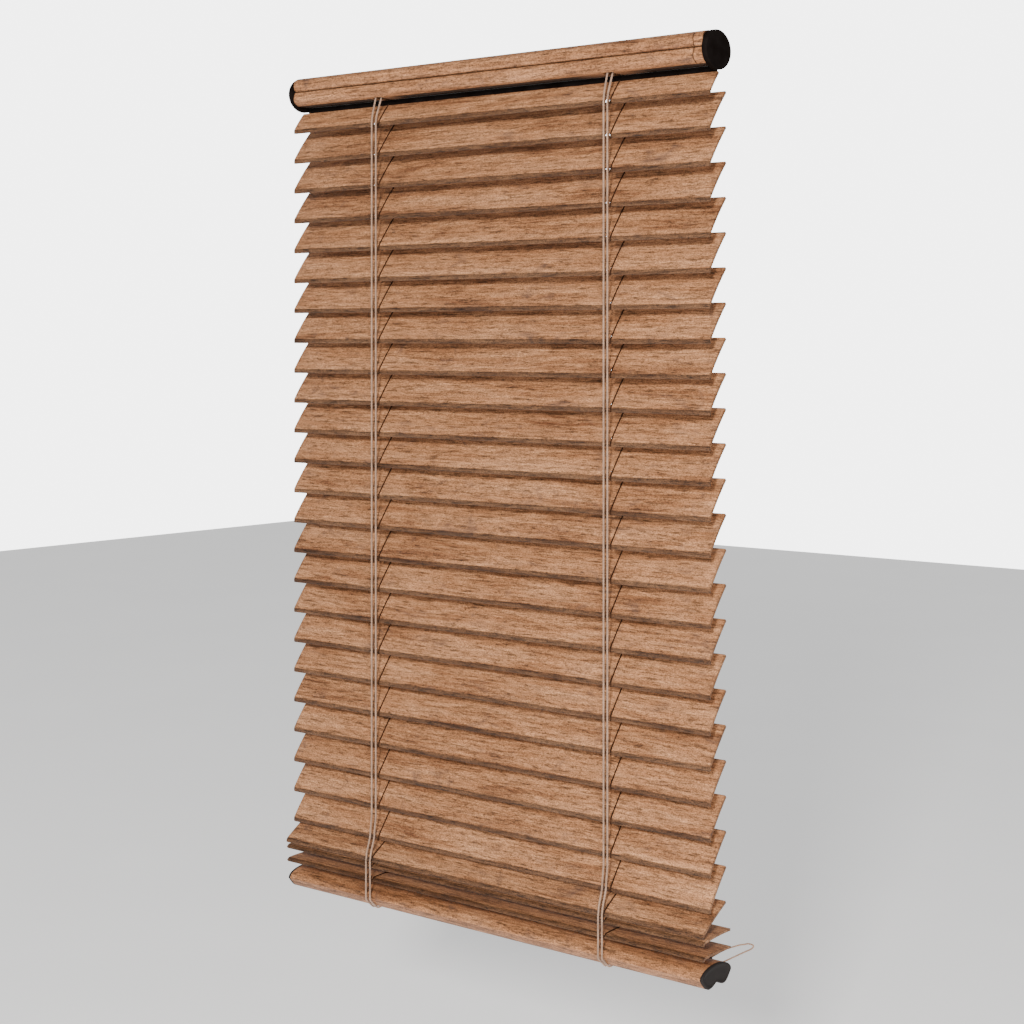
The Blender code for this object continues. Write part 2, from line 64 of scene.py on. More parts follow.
# Name, closed end of the front slits, tilt, Y and Z of the slats on the bottom rail.
LOW_SLATS = (
    ("slat_25", LOW_SLIT_END, math.radians(31), -0.0060, -0.9146),
    ("slat_26", SLIT_END, math.radians(2.8), -0.0005, -0.9342),
    ("slat_27", SLIT_END, 0.0, 0.0, -0.9515),
)
RAIL_Y, RAIL_TOP, RAIL_HALF_HEIGHT = -0.001, -0.0015, 0.0172
RAIL_Z = RAIL_TOP - RAIL_HALF_HEIGHT
RAIL_FRONT, RAIL_BACK, LOBE_DEPTH, LOBE_HALF_HEIGHT = 0.0205, 0.0195, 0.0125, 0.0085
GROOVE_DEPTH, BACK_RADIUS, RAIL_WALL = 0.0045, 0.005, 0.0014
BOTTOM_Z, BOTTOM_HALF_DEPTH, BOTTOM_TOP, BOTTOM_UNDER = -0.9747, 0.0275, 0.0115, 0.0116
BOTTOM_GROOVE, BOTTOM_WALL = 0.42, 0.0018
CORD_RADIUS, FRONT_CORD_Y, REAR_CORD_Y = 0.0012, 0.0195, 0.021
# The X of the ladder cord and of the lift cord at each station.
STATIONS = {"left": (-0.1621, -0.1686), "right": (0.1744, 0.1694)}
SLOT_SIDES, SLOT_HALF_DEPTH = (-0.0105, 0.0045), 0.0152
CLEARANCE = 0.0003
EDGE_BEVEL, BEVEL_ANGLE = 0.0003, 40

# Camera.
HEADING = math.radians(39)
CAMERA_AT = (1.3755, -1.664, -0.318)
LENS = 67.2
SHIFT_Y = -0.170
FAR_CLIP = 50


# Node materials --------------------------------------------------------------------------------

def new_material(name):
    material = bpy.data.materials.new(name)
    material.use_nodes = True
    tree = material.node_tree
    return material, tree, tree.nodes["Principled BSDF"]


def node(tree, kind, inputs=None, **settings):
    made = tree.nodes.new("ShaderNode" + kind)
    for key, value in settings.items():
        setattr(made, key, value)
    for key, value in (inputs or {}).items():
        if isinstance(value, bpy.types.NodeSocket):
            tree.links.new(value, made.inputs[key])
        else:
            made.inputs[key].default_value = value
    return made


def ramp(tree, factor, stops):
    made = node(tree, "ValToRGB", {"Fac": factor})
    elements = made.color_ramp.elements
    while len(elements) < len(stops):
        elements.new(0.5)
    for element, (place, colour) in zip(elements, stops):
        element.position = place
        element.color = (*colour, 1.0)
    return made.outputs["Color"]


def grey(value):
    return (value, value, value)


def mix(tree, factor, a, b, blend="MIX"):
    made = node(tree, "Mix", data_type="RGBA", blend_type=blend)
    for index, value in ((0, factor), (6, a), (7, b)):
        if isinstance(value, bpy.types.NodeSocket):
            tree.links.new(value, made.inputs[index])
        else:
            made.inputs[index].default_value = (*value, 1.0) if isinstance(value, tuple) else value
    return made.outputs[2]


def noise(tree, vector, scale, detail=4.0, roughness=0.55, distortion=0.0):
    made = node(tree, "TexNoise", {"Vector": vector, "Scale": scale, "Detail": detail,
                                   "Roughness": roughness, "Distortion": distortion})
    return made.outputs["Fac"]


def wood(name, base, dark, pale, roughness):
    """Printed oak: long streaks along X, fine pores, grey smudges and a few pale flecks."""
    material, tree, shader = new_material(name)
    seed = node(tree, "Attribute", attribute_name="wood_seed").outputs["Vector"]
    place = node(tree, "Attribute", attribute_name="wood_place").outputs["Vector"]
    shifted = node(tree, "VectorMath", {0: place, 1: seed}, operation="ADD").outputs["Vector"]

    def stretched(x, y, z):
        return node(tree, "Mapping", {"Vector": shifted, "Scale": (x, y, z)}).outputs["Vector"]

    broad = noise(tree, stretched(7, 48, 48), 1.0, 5.0, 0.62, 0.5)
    streaks = noise(tree, stretched(48, 430, 430), 1.0, 5.0, 0.68, 0.35)
    pores = noise(tree, stretched(230, 1150, 1150), 1.0, 3.0, 0.7)
    speckle = noise(tree, stretched(620, 900, 900), 1.0, 2.0, 0.6)
    smudge = noise(tree, stretched(24, 46, 46), 1.0, 4.0, 0.6, 1.4)
    figure = node(tree, "TexWave", {"Vector": stretched(6, 40, 40), "Scale": 1.0, "Distortion": 14.0,
                                    "Detail": 4.0, "Detail Scale": 1.1, "Detail Roughness": 0.65},
                  wave_type="BANDS", bands_direction="Y").outputs["Fac"]

    colour = ramp(tree, broad, ((0.28, dark), (0.47, base), (0.75, pale)))
    colour = mix(tree, 0.22, colour, ramp(tree, figure, ((0.0, dark), (0.5, base), (1.0, pale))))
    colour = mix(tree, 0.80, colour, ramp(tree, streaks, ((0.36, grey(0.16)), (0.47, grey(0.88)),
                                                          (0.66, grey(1.26)))), "MULTIPLY")
    colour = mix(tree, 0.75, colour, ramp(tree, pores, ((0.37, grey(0.14)), (0.47, grey(1.0)))),
                 "MULTIPLY")
    colour = mix(tree, 0.85, colour, ramp(tree, speckle, ((0.36, grey(0.52)), (0.50, grey(1.0)),
                                                          (0.66, grey(1.40)))), "MULTIPLY")
    stain = ramp(tree, smudge, ((0.57, grey(0.0)), (0.72, grey(0.55))))
    colour = mix(tree, stain, colour, tuple(0.42 * v + 0.030 for v in dark))
    # Painted shade: this point attribute darkens the slats' lips and the rail's groove and underside,
    # and also the dark seams and slat ends.
    edge = node(tree, "Attribute", attribute_name="painted_shade_and_dark_edges").outputs["Fac"]
    shade = ramp(tree, edge, ((0.0, grey(1.0)), (1.0, grey(0.10))))
    colour = mix(tree, 1.0, colour, shade, "MULTIPLY")
    tree.links.new(colour, shader.inputs["Base Color"])
    gloss = node(tree, "MapRange", {"Value": streaks, "From Min": 0.3, "From Max": 0.7,
                                    "To Min": roughness + 0.10, "To Max": roughness - 0.05})
    tree.links.new(gloss.outputs["Result"], shader.inputs["Roughness"])
    height = mix(tree, 0.5, streaks, pores)
    bump = node(tree, "Bump", {"Height": height, "Strength": 0.22, "Distance": 0.0004})
    tree.links.new(bump.outputs["Normal"], shader.inputs["Normal"])
    shader.inputs["Specular IOR Level"].default_value = 0.22
    return material


def moulded(name, colour, roughness, gloss_level=0.22):
    """Plastic with a fine moulded texture and slightly uneven gloss."""
    material, tree, shader = new_material(name)
    place = node(tree, "TexCoord").outputs["Object"]
    fine = noise(tree, place, 900.0, 3.0)
    wide = noise(tree, place, 60.0, 3.0)
    pale = tuple(min(1.0, 1.35 * v + 0.004) for v in colour)
    tree.links.new(ramp(tree, wide, ((0.3, colour), (0.75, pale))), shader.inputs["Base Color"])
    gloss = node(tree, "MapRange", {"Value": wide, "From Min": 0.3, "From Max": 0.7,
                                    "To Min": roughness - 0.05, "To Max": roughness + 0.08})
    tree.links.new(gloss.outputs["Result"], shader.inputs["Roughness"])
    bump = node(tree, "Bump", {"Height": fine, "Strength": 0.25, "Distance": 0.0002})
    tree.links.new(bump.outputs["Normal"], shader.inputs["Normal"])
    shader.inputs["Specular IOR Level"].default_value = gloss_level
    return material


def brushed(name, colour, roughness):
    """Zinc-plated steel, brushed along X, with faint blotches."""
    material, tree, shader = new_material(name)
    place = node(tree, "TexCoord").outputs["Object"]
    along = node(tree, "Mapping", {"Vector": place, "Scale": (60, 2400, 2400)}).outputs["Vector"]
    lines = noise(tree, along, 1.0, 3.0)
    blotch = noise(tree, place, 110.0, 3.0)
    dull = tuple(0.72 * v for v in colour)
    tree.links.new(ramp(tree, blotch, ((0.3, dull), (0.7, colour))), shader.inputs["Base Color"])
    gloss = node(tree, "MapRange", {"Value": lines, "From Min": 0.3, "From Max": 0.7,
                                    "To Min": roughness - 0.08, "To Max": roughness + 0.12})
    tree.links.new(gloss.outputs["Result"], shader.inputs["Roughness"])
    bump = node(tree, "Bump", {"Height": lines, "Strength": 0.15, "Distance": 0.0001})
    tree.links.new(bump.outputs["Normal"], shader.inputs["Normal"])
    shader.inputs["Metallic"].default_value = 1.0
    return material


def thread(name, colour, dark, sheen=0.2, gloss=0.25):
    """Spun polyester: fibres across the lay of the strands, fuzz and uneven dye."""
    material, tree, shader = new_material(name)
    place = node(tree, "TexCoord").outputs["Object"]
    slanted = node(tree, "Mapping", {"Vector": place, "Rotation": (0.6, 0.6, 0.0),
                                     "Scale": (3200, 3200, 500)}).outputs["Vector"]
    fibre = noise(tree, slanted, 1.0, 2.0)
    dye = noise(tree, place, 90.0, 3.0)
    colour_node = mix(tree, 0.5, ramp(tree, fibre, ((0.32, dark), (0.6, colour))),
                      ramp(tree, dye, ((0.3, dark), (0.65, colour))))
    tree.links.new(colour_node, shader.inputs["Base Color"])
    bump = node(tree, "Bump", {"Height": fibre, "Strength": 0.5, "Distance": 0.0002})
    tree.links.new(bump.outputs["Normal"], shader.inputs["Normal"])
    shader.inputs["Roughness"].default_value = 0.85
    shader.inputs["Sheen Weight"].default_value = sheen
    shader.inputs["Specular IOR Level"].default_value = gloss
    return material


WOOD = wood("printed_oak", (0.325, 0.148, 0.068), (0.120, 0.045, 0.019), (0.490, 0.250, 0.127),
            0.50)
RAIL_WOOD = wood("rail_oak", (0.285, 0.126, 0.056), (0.115, 0.042, 0.017), (0.440, 0.215, 0.106),
                 0.48)
BLACK = moulded("black_plastic", (0.0022, 0.0009, 0.0005), 0.80, 0.04)
CHARCOAL = moulded("charcoal_plastic", (0.0105, 0.0085, 0.0080), 0.65, 0.12)
NYLON = moulded("white_nylon", (0.70, 0.69, 0.64), 0.5)
ZINC = brushed("zinc_plate", (0.62, 0.62, 0.60), 0.34)
TWINE = thread("twine", (0.340, 0.215, 0.145), (0.130, 0.072, 0.044))
# Near-black thread over each slat: partly the ladder's rung, partly the painted shadow of the cord
# across the slat.
RUNG_AND_SHADOW_THREAD = thread("rung_and_shadow_thread", (0.030, 0.013, 0.007), (0.008, 0.004, 0.002), 0.0, 0.05)
LOOP_TWINE = thread("loop_twine", (0.300, 0.175, 0.110), (0.110, 0.058, 0.036))


# Mesh helpers ----------------------------------------------------------------------------------

def link_mesh(name, bm, material, body, smooth=35):
    bmesh.ops.recalc_face_normals(bm, faces=bm.faces)
    mesh = bpy.data.meshes.new(name)
    bm.to_mesh(mesh)
    bm.free()
    obj = bpy.data.objects.new(name, mesh)
    bpy.context.scene.collection.objects.link(obj)
    mesh.shade_smooth()
    mesh.set_sharp_from_angle(angle=math.radians(smooth))
    mesh.materials.append(material)
    obj["body"] = body
    return obj


def paint_wood(obj, seed, shade=None, along=None):
    """Stores where each point lies on the board, the board's own seed, and its painted shade and dark
    seams and ends.
    """
    mesh = obj.data
    rng = random.Random(seed)
    offset = (rng.uniform(0, 9), rng.uniform(0, 9), rng.uniform(0, 9))
    for name, kind in (("wood_place", "FLOAT_VECTOR"), ("wood_seed", "FLOAT_VECTOR"),
                       ("painted_shade_and_dark_edges", "FLOAT")):
        mesh.attributes.new(name, kind, "POINT")
    places, seeds, shades = (mesh.attributes[name].data
                             for name in ("wood_place", "wood_seed", "painted_shade_and_dark_edges"))
    for i, vertex in enumerate(mesh.vertices):
        places[i].vector = along(vertex.co) if along else vertex.co
        seeds[i].vector = offset
        shades[i].value = shade(vertex.co) if shade else 0.0


def arc(centre, radii, start, end, steps):
    points = []
    for i in range(steps + 1):
        a = math.radians(start + (end - start) * i / steps)
        points.append((centre[0] + radii[0] * math.cos(a), centre[1] + radii[1] * math.sin(a)))
    return points


def loft(sections, holes=None):
    """A closed body through sections of points, with flat ends, or with rims where there is a hole."""
    bm = bmesh.new()
    rings = [[[bm.verts.new(p) for p in section] for section in group]
             for group in ([sections, holes] if holes else [sections])]
    for group in rings:
        for first, second in zip(group, group[1:]):
            for i in range(len(first)):
                j = (i + 1) % len(first)
                bm.faces.new((first[i], first[j], second[j], second[i]))
    for end in (0, -1):
        if holes:
            outer, inner = rings[0][end], rings[1][end]
            for i in range(len(outer)):
                j = (i + 1) % len(outer)
                bm.faces.new((outer[i], outer[j], inner[j], inner[i]))
        else:
            bm.faces.new(rings[0][end])
    return bm


def add_bevel(obj):
    bevel = obj.modifiers.new("edge", "BEVEL")
    bevel.width = EDGE_BEVEL
    bevel.segments = 2
    bevel.limit_method = "ANGLE"
    bevel.angle_limit = math.radians(BEVEL_ANGLE)
    bevel.harden_normals = True


# Camera ----------------------------------------------------------------------------------------

def add_camera():
    camera = bpy.data.cameras.new("camera")
    camera.lens = LENS
    camera.sensor_width = 36
    camera.shift_y = SHIFT_Y
    camera.clip_end = FAR_CLIP
    obj = bpy.data.objects.new("camera", camera)
    obj.location = CAMERA_AT
    obj.rotation_euler = (math.pi / 2, 0, HEADING)
    bpy.context.scene.collection.objects.link(obj)
    bpy.context.scene.camera = obj


# Cords -----------------------------------------------------------------------------------------

CORD_TOP_Z, LADDER_TOP_Y, LIFT_TOP_Y, PLUG_RADIUS = -0.026, 0.0098, 0.0125, 0.0032
# Share of the way out in Y, with Z for the upper bends and height over the rail for the lower ones.
UPPER_BENDS = ((0.0, -0.034), (0.25, -0.041), (0.8, -0.055), (1.0, -0.065))
FRONT_BENDS = ((0.0, 0.095), (0.30, 0.070), (0.85, 0.053), (1.0, 0.043), (1.0, 0.0))
REAR_BENDS = ((0.0, 0.068), (0.30, 0.043), (0.62, 0.023), (0.80, 0.0095), (0.97, 0.0040),
              (1.0, 0.0))
UNDER_SHARES = (0.985, 0.95, 0.88, 0.78, 0.66, 0.55, 0.44, 0.33, 0.2, 0.1, 0.0)
SIDE_SHARE = 0.8
ROPE_STRANDS = 2
ROPE_STEP, ROPE_PITCH = 0.0010, 0.0065  # distance between sections, and length of one turn
LOOP_STEP, LOOP_PITCH = 0.0008, 0.0040
LONGEST_CUT = 0.009  # longer straight runs are divided, or the curve would swing past their ends
STRAND_DEPTH = 0.16  # share of the radius by which the grooves between strands are cut
LOOP_RADIUS = 0.0009
LOOP_ROUTE = (
    (0.2745, 0.0294, -0.9685), (0.2850, 0.0288, -0.9612), (0.2952, 0.0280, -0.9550),
    (0.3100, 0.0276, -0.9485), (0.3210, 0.0275, -0.9450), (0.3268, 0.0275, -0.9458),
    (0.3240, 0.0275, -0.9498), (0.3110, 0.0276, -0.9575), (0.2952, 0.0280, -0.9670),
    (0.2850, 0.0288, -0.9730), (0.2745, 0.0294, -0.9780),
)


def spaced_route(points, spacing):
    """Points this far apart on a Catmull-Rom curve through the given points."""
    route = [Vector(points[0])]
    for point in points[1:]:
        step = Vector(point) - route[-1]
        cuts = max(1, math.ceil(step.length / LONGEST_CUT))
        start = route[-1]
        route += [start + step * (i / cuts) for i in range(1, cuts + 1)]
    route = [2 * route[0] - route[1]] + route + [2 * route[-1] - route[-2]]
    dense = []
    for k in range(1, len(route) - 2):
        p0, p1, p2, p3 = route[k - 1 : k + 3]
        steps = max(6, int((p2 - p1).length / spacing))
        for i in range(steps):
            t = i / steps
            dense.append(0.5 * (2 * p1 + (p2 - p0) * t + (2 * p0 - 5 * p1 + 4 * p2 - p3) * t * t
                                + (3 * p1 - p0 - 3 * p2 + p3) * t ** 3))
    dense.append(route[-2])
    lengths = [0.0]
    for a, b in zip(dense, dense[1:]):
        lengths.append(lengths[-1] + (b - a).length)
    count = max(2, round(lengths[-1] / spacing) + 1)
    spaced, k = [], 0
    for i in range(count):
        target = lengths[-1] * i / (count - 1)
        while k < len(lengths) - 2 and lengths[k + 1] < target:
            k += 1
        share = (target - lengths[k]) / (lengths[k + 1] - lengths[k])
        spaced.append(dense[k].lerp(dense[k + 1], min(max(share, 0.0), 1.0)))
    return spaced


def twisted_cord(name, points, radius, pitch, material, body):
    """A rope of strands laid round each other: a lobed section that turns as it goes."""
    sections, turned = [], 0.0
    side = Vector((1, 0, 0))
    for i, point in enumerate(points):
        ahead = points[min(i + 1, len(points) - 1)] - points[max(i - 1, 0)]
        ahead.normalize()
        side = (side - ahead * side.dot(ahead)).normalized()
        other = ahead.cross(side)
        if i:
            turned += math.tau * (point - points[i - 1]).length / pitch
        section = []
        for k in range(4 * ROPE_STRANDS):
            a = math.tau * k / (4 * ROPE_STRANDS)
            depth = STRAND_DEPTH * (math.cos(ROPE_STRANDS * (a - turned)) - 1)
            r = radius * (1 + depth)
            section.append(point + side * (r * math.cos(a)) + other * (r * math.sin(a)))
        sections.append(section)
    return link_mesh(name, loft(sections), material, body, 70)


def upper_route(top_y, hang_y):
    """Y and Z of a cord from inside the head rail down to where it hangs straight."""
    reach = hang_y - top_y
    return [(top_y, CORD_TOP_Z)] + [(top_y + share * reach, z) for share, z in UPPER_BENDS]


def under_depth(y, half, under):
    """Depth of the bottom rail's two lobes below its middle, at a distance from its middle in Y."""
    share = abs(y) / half
    depth = math.sin(math.pi * min(share, 1.0))
    if share < 0.5:
        depth = (1 - BOTTOM_GROOVE) + BOTTOM_GROOVE * depth
    return under * depth


def round_rail_route(hang_y, bends, reach):
    """Y and Z of a cord round one side of the bottom rail, to this far from its middle."""
    gap = CORD_RADIUS + 2 * CLEARANCE
    spread = BOTTOM_HALF_DEPTH + gap - hang_y
    route = [(hang_y + share * spread, BOTTOM_Z + height) for share, height in bends]
    for share in UNDER_SHARES:
        y = share * BOTTOM_HALF_DEPTH
        if y < reach:
            break
        depth = under_depth(y, BOTTOM_HALF_DEPTH, BOTTOM_UNDER)
        slant = gap * max(0.0, (share - SIDE_SHARE) / (1 - SIDE_SHARE))
        route.append((y + slant, BOTTOM_Z - depth - gap))
    return route


def add_cords():
    for side, (ladder_x, lift_x) in STATIONS.items():
        lift = []
        for face, sign, hang_y, bends in (("front", -1, FRONT_CORD_Y, FRONT_BENDS),
                                          ("rear", 1, REAR_CORD_Y, REAR_BENDS)):
            route = upper_route(LADDER_TOP_Y, hang_y)
            route += round_rail_route(hang_y, bends, PLUG_RADIUS + CORD_RADIUS)
            points = spaced_route([(ladder_x, sign * y, z) for y, z in route], ROPE_STEP)
            name = f"ladder_{face}_{side}"
            cord = twisted_cord(f"{name}_rope", points, CORD_RADIUS, ROPE_PITCH, TWINE, "frame")
            finish_piece(cord, "cord", name)
            lift.append(upper_route(LIFT_TOP_Y, hang_y) + round_rail_route(hang_y, bends, 0.0))
        front, rear = lift
        path = [(lift_x, -y, z) for y, z in front] + [(lift_x, y, z) for y, z in rear[-2::-1]]
        points = spaced_route(path, ROPE_STEP)
        name = f"lift_cord_{side}"
        cord = twisted_cord(f"{name}_rope", points, CORD_RADIUS, ROPE_PITCH, TWINE, "frame")
        finish_piece(cord, "cord", name)


def add_pull_loop():
    points = spaced_route(LOOP_ROUTE, LOOP_STEP)
    loop = twisted_cord("pull_loop_rope", points, LOOP_RADIUS, LOOP_PITCH, LOOP_TWINE, "frame")
    finish_piece(loop, "cord", "pull_loop")


def finish_piece(obj, slot, *nodes):
    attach(obj, obj["body"])
    if nodes:
        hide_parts(*nodes)


# Slats -----------------------------------------------------------------------------------------

CROWN_STEPS = 12
REAR_EDGE = 0.0009  # from the rear edge to the next line of points
FRONT_EDGE = 0.0012  # from the ridge, or from a slat's end, to the next line of points
COLUMN_STEP = 0.03
EDGE_THINNING = 0.55  # thickness left at the long edges
CORNER_CUT = 0.0009
LIP_ROOT, LIP_TIP = 0.0009, 0.0008  # rounding lengths at the lip's root and at its tip
MITRE_LIMIT = 0.6  # the least cosine that a mitred corner is lengthened by
RIDGE_OFFSET = Vector((0.00015, -0.0000875))  # the rounding point beside the ridge
RUNG_RADIUS, RUNG_STEP, RUNG_PITCH = 0.0008, 0.0025, 0.003
RUNG_SINK = 0.6  # share of its radius by which a rung's middle stands off the face
RUNG_GAP = 0.0001  # from the slit's edge
# Darkening of the slats' ends, and painted shade on each bent lip, which faces down away from the
# light.
END_SHADE, LIP_PAINTED_SHADE = 0.45, 0.80
END_SHADE_WIDTH, LIP_ZONE = 0.0008, 0.0002


def slat_rows(chord, front_end, rear_end):
    """Middle points of the section lying flat, from the rear edge to the foot of the lip."""
    half = chord / 2
    marks = [half, half - REAR_EDGE] + ([rear_end] if rear_end is not None else [])
    marks += [half - chord * i / CROWN_STEPS for i in range(1, CROWN_STEPS)]
    marks += [-front_end, -half + FRONT_EDGE]
    marks = sorted({round(m, 6) for m in marks}, reverse=True)
    crown = SLAT_CROWN * chord / SLAT_CHORD
    points = [Vector((s, crown * (1 - (s / half) ** 2))) for s in marks]
    ridge = Vector((-half, 0.0))
    lip = Vector((-math.sin(CLOSED_TILT), -math.cos(CLOSED_TILT)))
    points.append(ridge + RIDGE_OFFSET)
    for reach in (LIP_ROOT, LIP_HEIGHT - LIP_TIP, LIP_HEIGHT):
        points.append(ridge + reach * lip)
    return points


def mitres(points):
    """The section's unit normal at each point, and its cosine to the normal just before it."""
    found = []
    for i, point in enumerate(points):
        before = point - points[i - 1] if i else points[1] - points[0]
        after = points[i + 1] - point if i < len(points) - 1 else before
        first = Vector((before.y, -before.x)).normalized()
        second = Vector((after.y, -after.x)).normalized()
        mitre = (first + second).normalized()
        found.append((mitre, mitre.dot(first)))
    return found


def slat_mesh(name, chord, front_end, rear_end, body):
    """A crowned board with a bent lip, open slits for the cords and rounded corners."""
    slits = sorted(x for pair in STATIONS.values() for x in pair)
    half_length = SLAT_LENGTH / 2
    columns, is_slit = [-half_length, -half_length + FRONT_EDGE], [False]
    edge = columns[-1]
    for x in slits:
        left, right = x - SLIT_WIDTH / 2, x + SLIT_WIDTH / 2
        steps = max(1, round((left - edge) / COLUMN_STEP))
        columns += [edge + (left - edge) * i / steps for i in range(1, steps)] + [left, right]
        is_slit += [False] * steps + [True]
        edge = right
    last = half_length - FRONT_EDGE
    steps = round((last - edge) / COLUMN_STEP)
    columns += [edge + (last - edge) * i / steps for i in range(1, steps + 1)] + [half_length]
    is_slit += [False] * (steps + 1)
    points = slat_rows(chord, front_end, rear_end)
    normals = [mitre / max(cosine, MITRE_LIMIT) for mitre, cosine in mitres(points)]
    rows = len(points) - 1

    def open_row(r):
        if points[r + 1].x < -front_end + 1e-5 and points[r].x < -front_end + 1e-5:
            return True
        return rear_end is not None and points[r + 1].x > rear_end - 1e-5

    def solid(c, r):
        return 0 <= c < len(columns) - 1 and 0 <= r < rows and not (is_slit[c] and open_row(r))

    bm = bmesh.new()
    made = {}

    def vert(c, r, side):
        key = (c, r, side)
        if key not in made:
            thin = EDGE_THINNING if r in (0, rows) else 1.0
            y, z = points[r] + normals[r] * side * thin * SLAT_THICKNESS / 2
            x = columns[c]
            if r in (0, rows) and c in (0, len(columns) - 1):
                x -= math.copysign(CORNER_CUT, x)
            made[key] = bm.verts.new((x, y, z))
        return made[key]

    for c in range(len(columns) - 1):
        for r in range(rows):
            if not solid(c, r):
                continue
            for side in (1, -1):
                corners = [(c, r), (c + 1, r), (c + 1, r + 1), (c, r + 1)]
                bm.faces.new([vert(*corner, side) for corner in corners[::side]])
            for (dc, dr), (a, b) in (((-1, 0), ((c, r), (c, r + 1))),
                                     ((1, 0), ((c + 1, r), (c + 1, r + 1))),
                                     ((0, -1), ((c, r), (c + 1, r))),
                                     ((0, 1), ((c, r + 1), (c + 1, r + 1)))):
                if not solid(c + dc, r + dr):
                    bm.faces.new([vert(*a, 1), vert(*b, 1), vert(*b, -1), vert(*a, -1)])
    return link_mesh(name, bm, WOOD, body, 50)


def rung_points(chord, lift):
    """The section's outer face, a little above it, from the foot of the lip to the rear edge."""
    points = slat_rows(chord, SLIT_END, None)
    return [point + mitre * lift for point, (mitre, _) in zip(points, mitres(points))][::-1]


def add_rungs(name, chord, body, tilt, y, z):
    for side, (ladder_x, _) in STATIONS.items():
        x = ladder_x + SLIT_WIDTH / 2 + RUNG_RADIUS + RUNG_GAP
        flat = rung_points(chord, SLAT_THICKNESS / 2 + RUNG_RADIUS * RUNG_SINK)
        points = spaced_route([(x, a, b) for a, b in flat], RUNG_STEP)
        rung = twisted_cord(f"{name}_rung_{side}", points, RUNG_RADIUS, RUNG_PITCH, RUNG_AND_SHADOW_THREAD, body)
        place(rung, tilt, y, z)
        finish_piece(rung, "cord")


def place(obj, tilt, y, z):
    obj.location = (0, y, z)
    obj.rotation_euler = (tilt, 0, 0)


def add_slats():
    layout = [("slat_01", TOP_CHORD, TOP_SLIT_END, None, CLOSED_TILT, TOP_PIVOT_Y, TOP_PIVOT_Z)]
    layout += [(f"slat_{i + 2:02d}", SLAT_CHORD, SLIT_END, REAR_SLIT_END, CLOSED_TILT, 0.0,
                FIRST_PIVOT_Z - PITCH * i) for i in range(HANGING_SLATS)]
    layout += [(name, SLAT_CHORD, front_end, REAR_SLIT_END, *pose)
               for name, front_end, *pose in LOW_SLATS]
    for number, (name, chord, front_end, rear_end, tilt, y, z) in enumerate(layout):
        body = name if number < TILTING_SLATS else "frame"
        board = slat_mesh(f"{name}_board", chord, front_end, rear_end, body)
        half = chord / 2

        def shade(co):
            end = max(0.0, 1 - (SLAT_LENGTH / 2 - abs(co.x)) / END_SHADE_WIDTH)
            # Painted shade on the lip, which faces down away from the light.
            lip = LIP_PAINTED_SHADE if co.y < -half - LIP_ZONE else 0.0
            return max(END_SHADE * end, lip)

        paint_wood(board, 100 + number, shade)
        place(board, tilt, y, z)
        finish_piece(board, "slat_wood", name)
        add_rungs(name, chord, body, tilt, y, z)


# Rails -----------------------------------------------------------------------------------------

TUBE_STEP = 0.06
CAP_STEPS, TOP_STEPS, UNDER_STEPS = 72, 48, 56  # points round a head cap and a bottom rail
SEAM_WIDTH = 0.0008  # width of the dark line at a tube's end
PRINT_RADIUS = 0.022  # turns an angle round the section into a distance across the print
# Painted shade in the groove and under the rail, and the darkness of the seams.
GROOVE_PAINTED_SHADE, UNDER_PAINTED_SHADE, SEAM_SHADE = 0.9, 1.25, 0.95
GROOVE_PAINTED_SHADE_WIDTH, LOBE_ZONE, UNDER_ZONE = 0.0016, 0.012, 0.0004
# The X of the dark seams between the rail, the collar and the cap.
SEAM_XS = (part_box("head_rail")[1][0], *(corner[0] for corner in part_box("head_collar")))
# Depth behind the outer face and inset from the rim of each ring of a head cap.
HEAD_CAP_RINGS = (
    (0.0060, 0.0006), (0.0054, 0.0), (0.0016, 0.0), (0.0008, 0.0002), (0.0002, 0.0008),
    (0.0, 0.0014), (0.0001, 0.0022), (0.0005, 0.0026), (0.0006, 0.0034), (0.0006, 0.0090),
    (0.0006, 0.0150),
)
# Share of the thickness behind the outer face and inset of each ring of a bottom cap.
BOTTOM_CAP_RINGS = ((1.0, 0.0), (0.25, 0.0), (0.10, 0.0003), (0.0, 0.0010), (0.0, 0.0022),
                    (0.15, 0.0027), (0.17, 0.0060))


def rail_outline(wall=0.0):
    back, top, front = RAIL_BACK - wall, RAIL_HALF_HEIGHT - wall, RAIL_FRONT - wall
    radius = BACK_RADIUS - wall
    lobe = LOBE_HALF_HEIGHT - wall / 2
    groove = front - GROOVE_DEPTH
    lobe_y = -RAIL_FRONT + LOBE_DEPTH
    upper = arc((back - radius, top - radius), (radius, radius), 0, 90, 8)
    upper += arc((lobe_y, top - lobe), (front + lobe_y, lobe), 90, 180, 16)
    upper += arc((-groove, top - lobe), (GROOVE_DEPTH, top - lobe), 180, 270, 10)[1:]
    lower = [(y, -z) for y, z in upper[::-1]]
    outline = upper[:-1] + [(-groove, 0.0)] + lower[1:]
    return [(RAIL_Y + y, RAIL_Z + z) for y, z in outline]


def add_cutter(name, low, high, target):
    bm = bmesh.new()
    bmesh.ops.create_cube(bm, size=1.0)
    for vertex in bm.verts:
        for i in range(3):
            vertex.co[i] = high[i] if vertex.co[i] > 0 else low[i]
    mesh = bpy.data.meshes.new(name)
    bm.to_mesh(mesh)
    bm.free()
    cutter = bpy.data.objects.new(name, mesh)
    bpy.context.scene.collection.objects.link(cutter)
    cutter.hide_render = True
    cutter.hide_viewport = True
    cut = target.modifiers.new(name, "BOOLEAN")
    cut.object = cutter
    cut.operation = "DIFFERENCE"
    cut.solver = "EXACT"


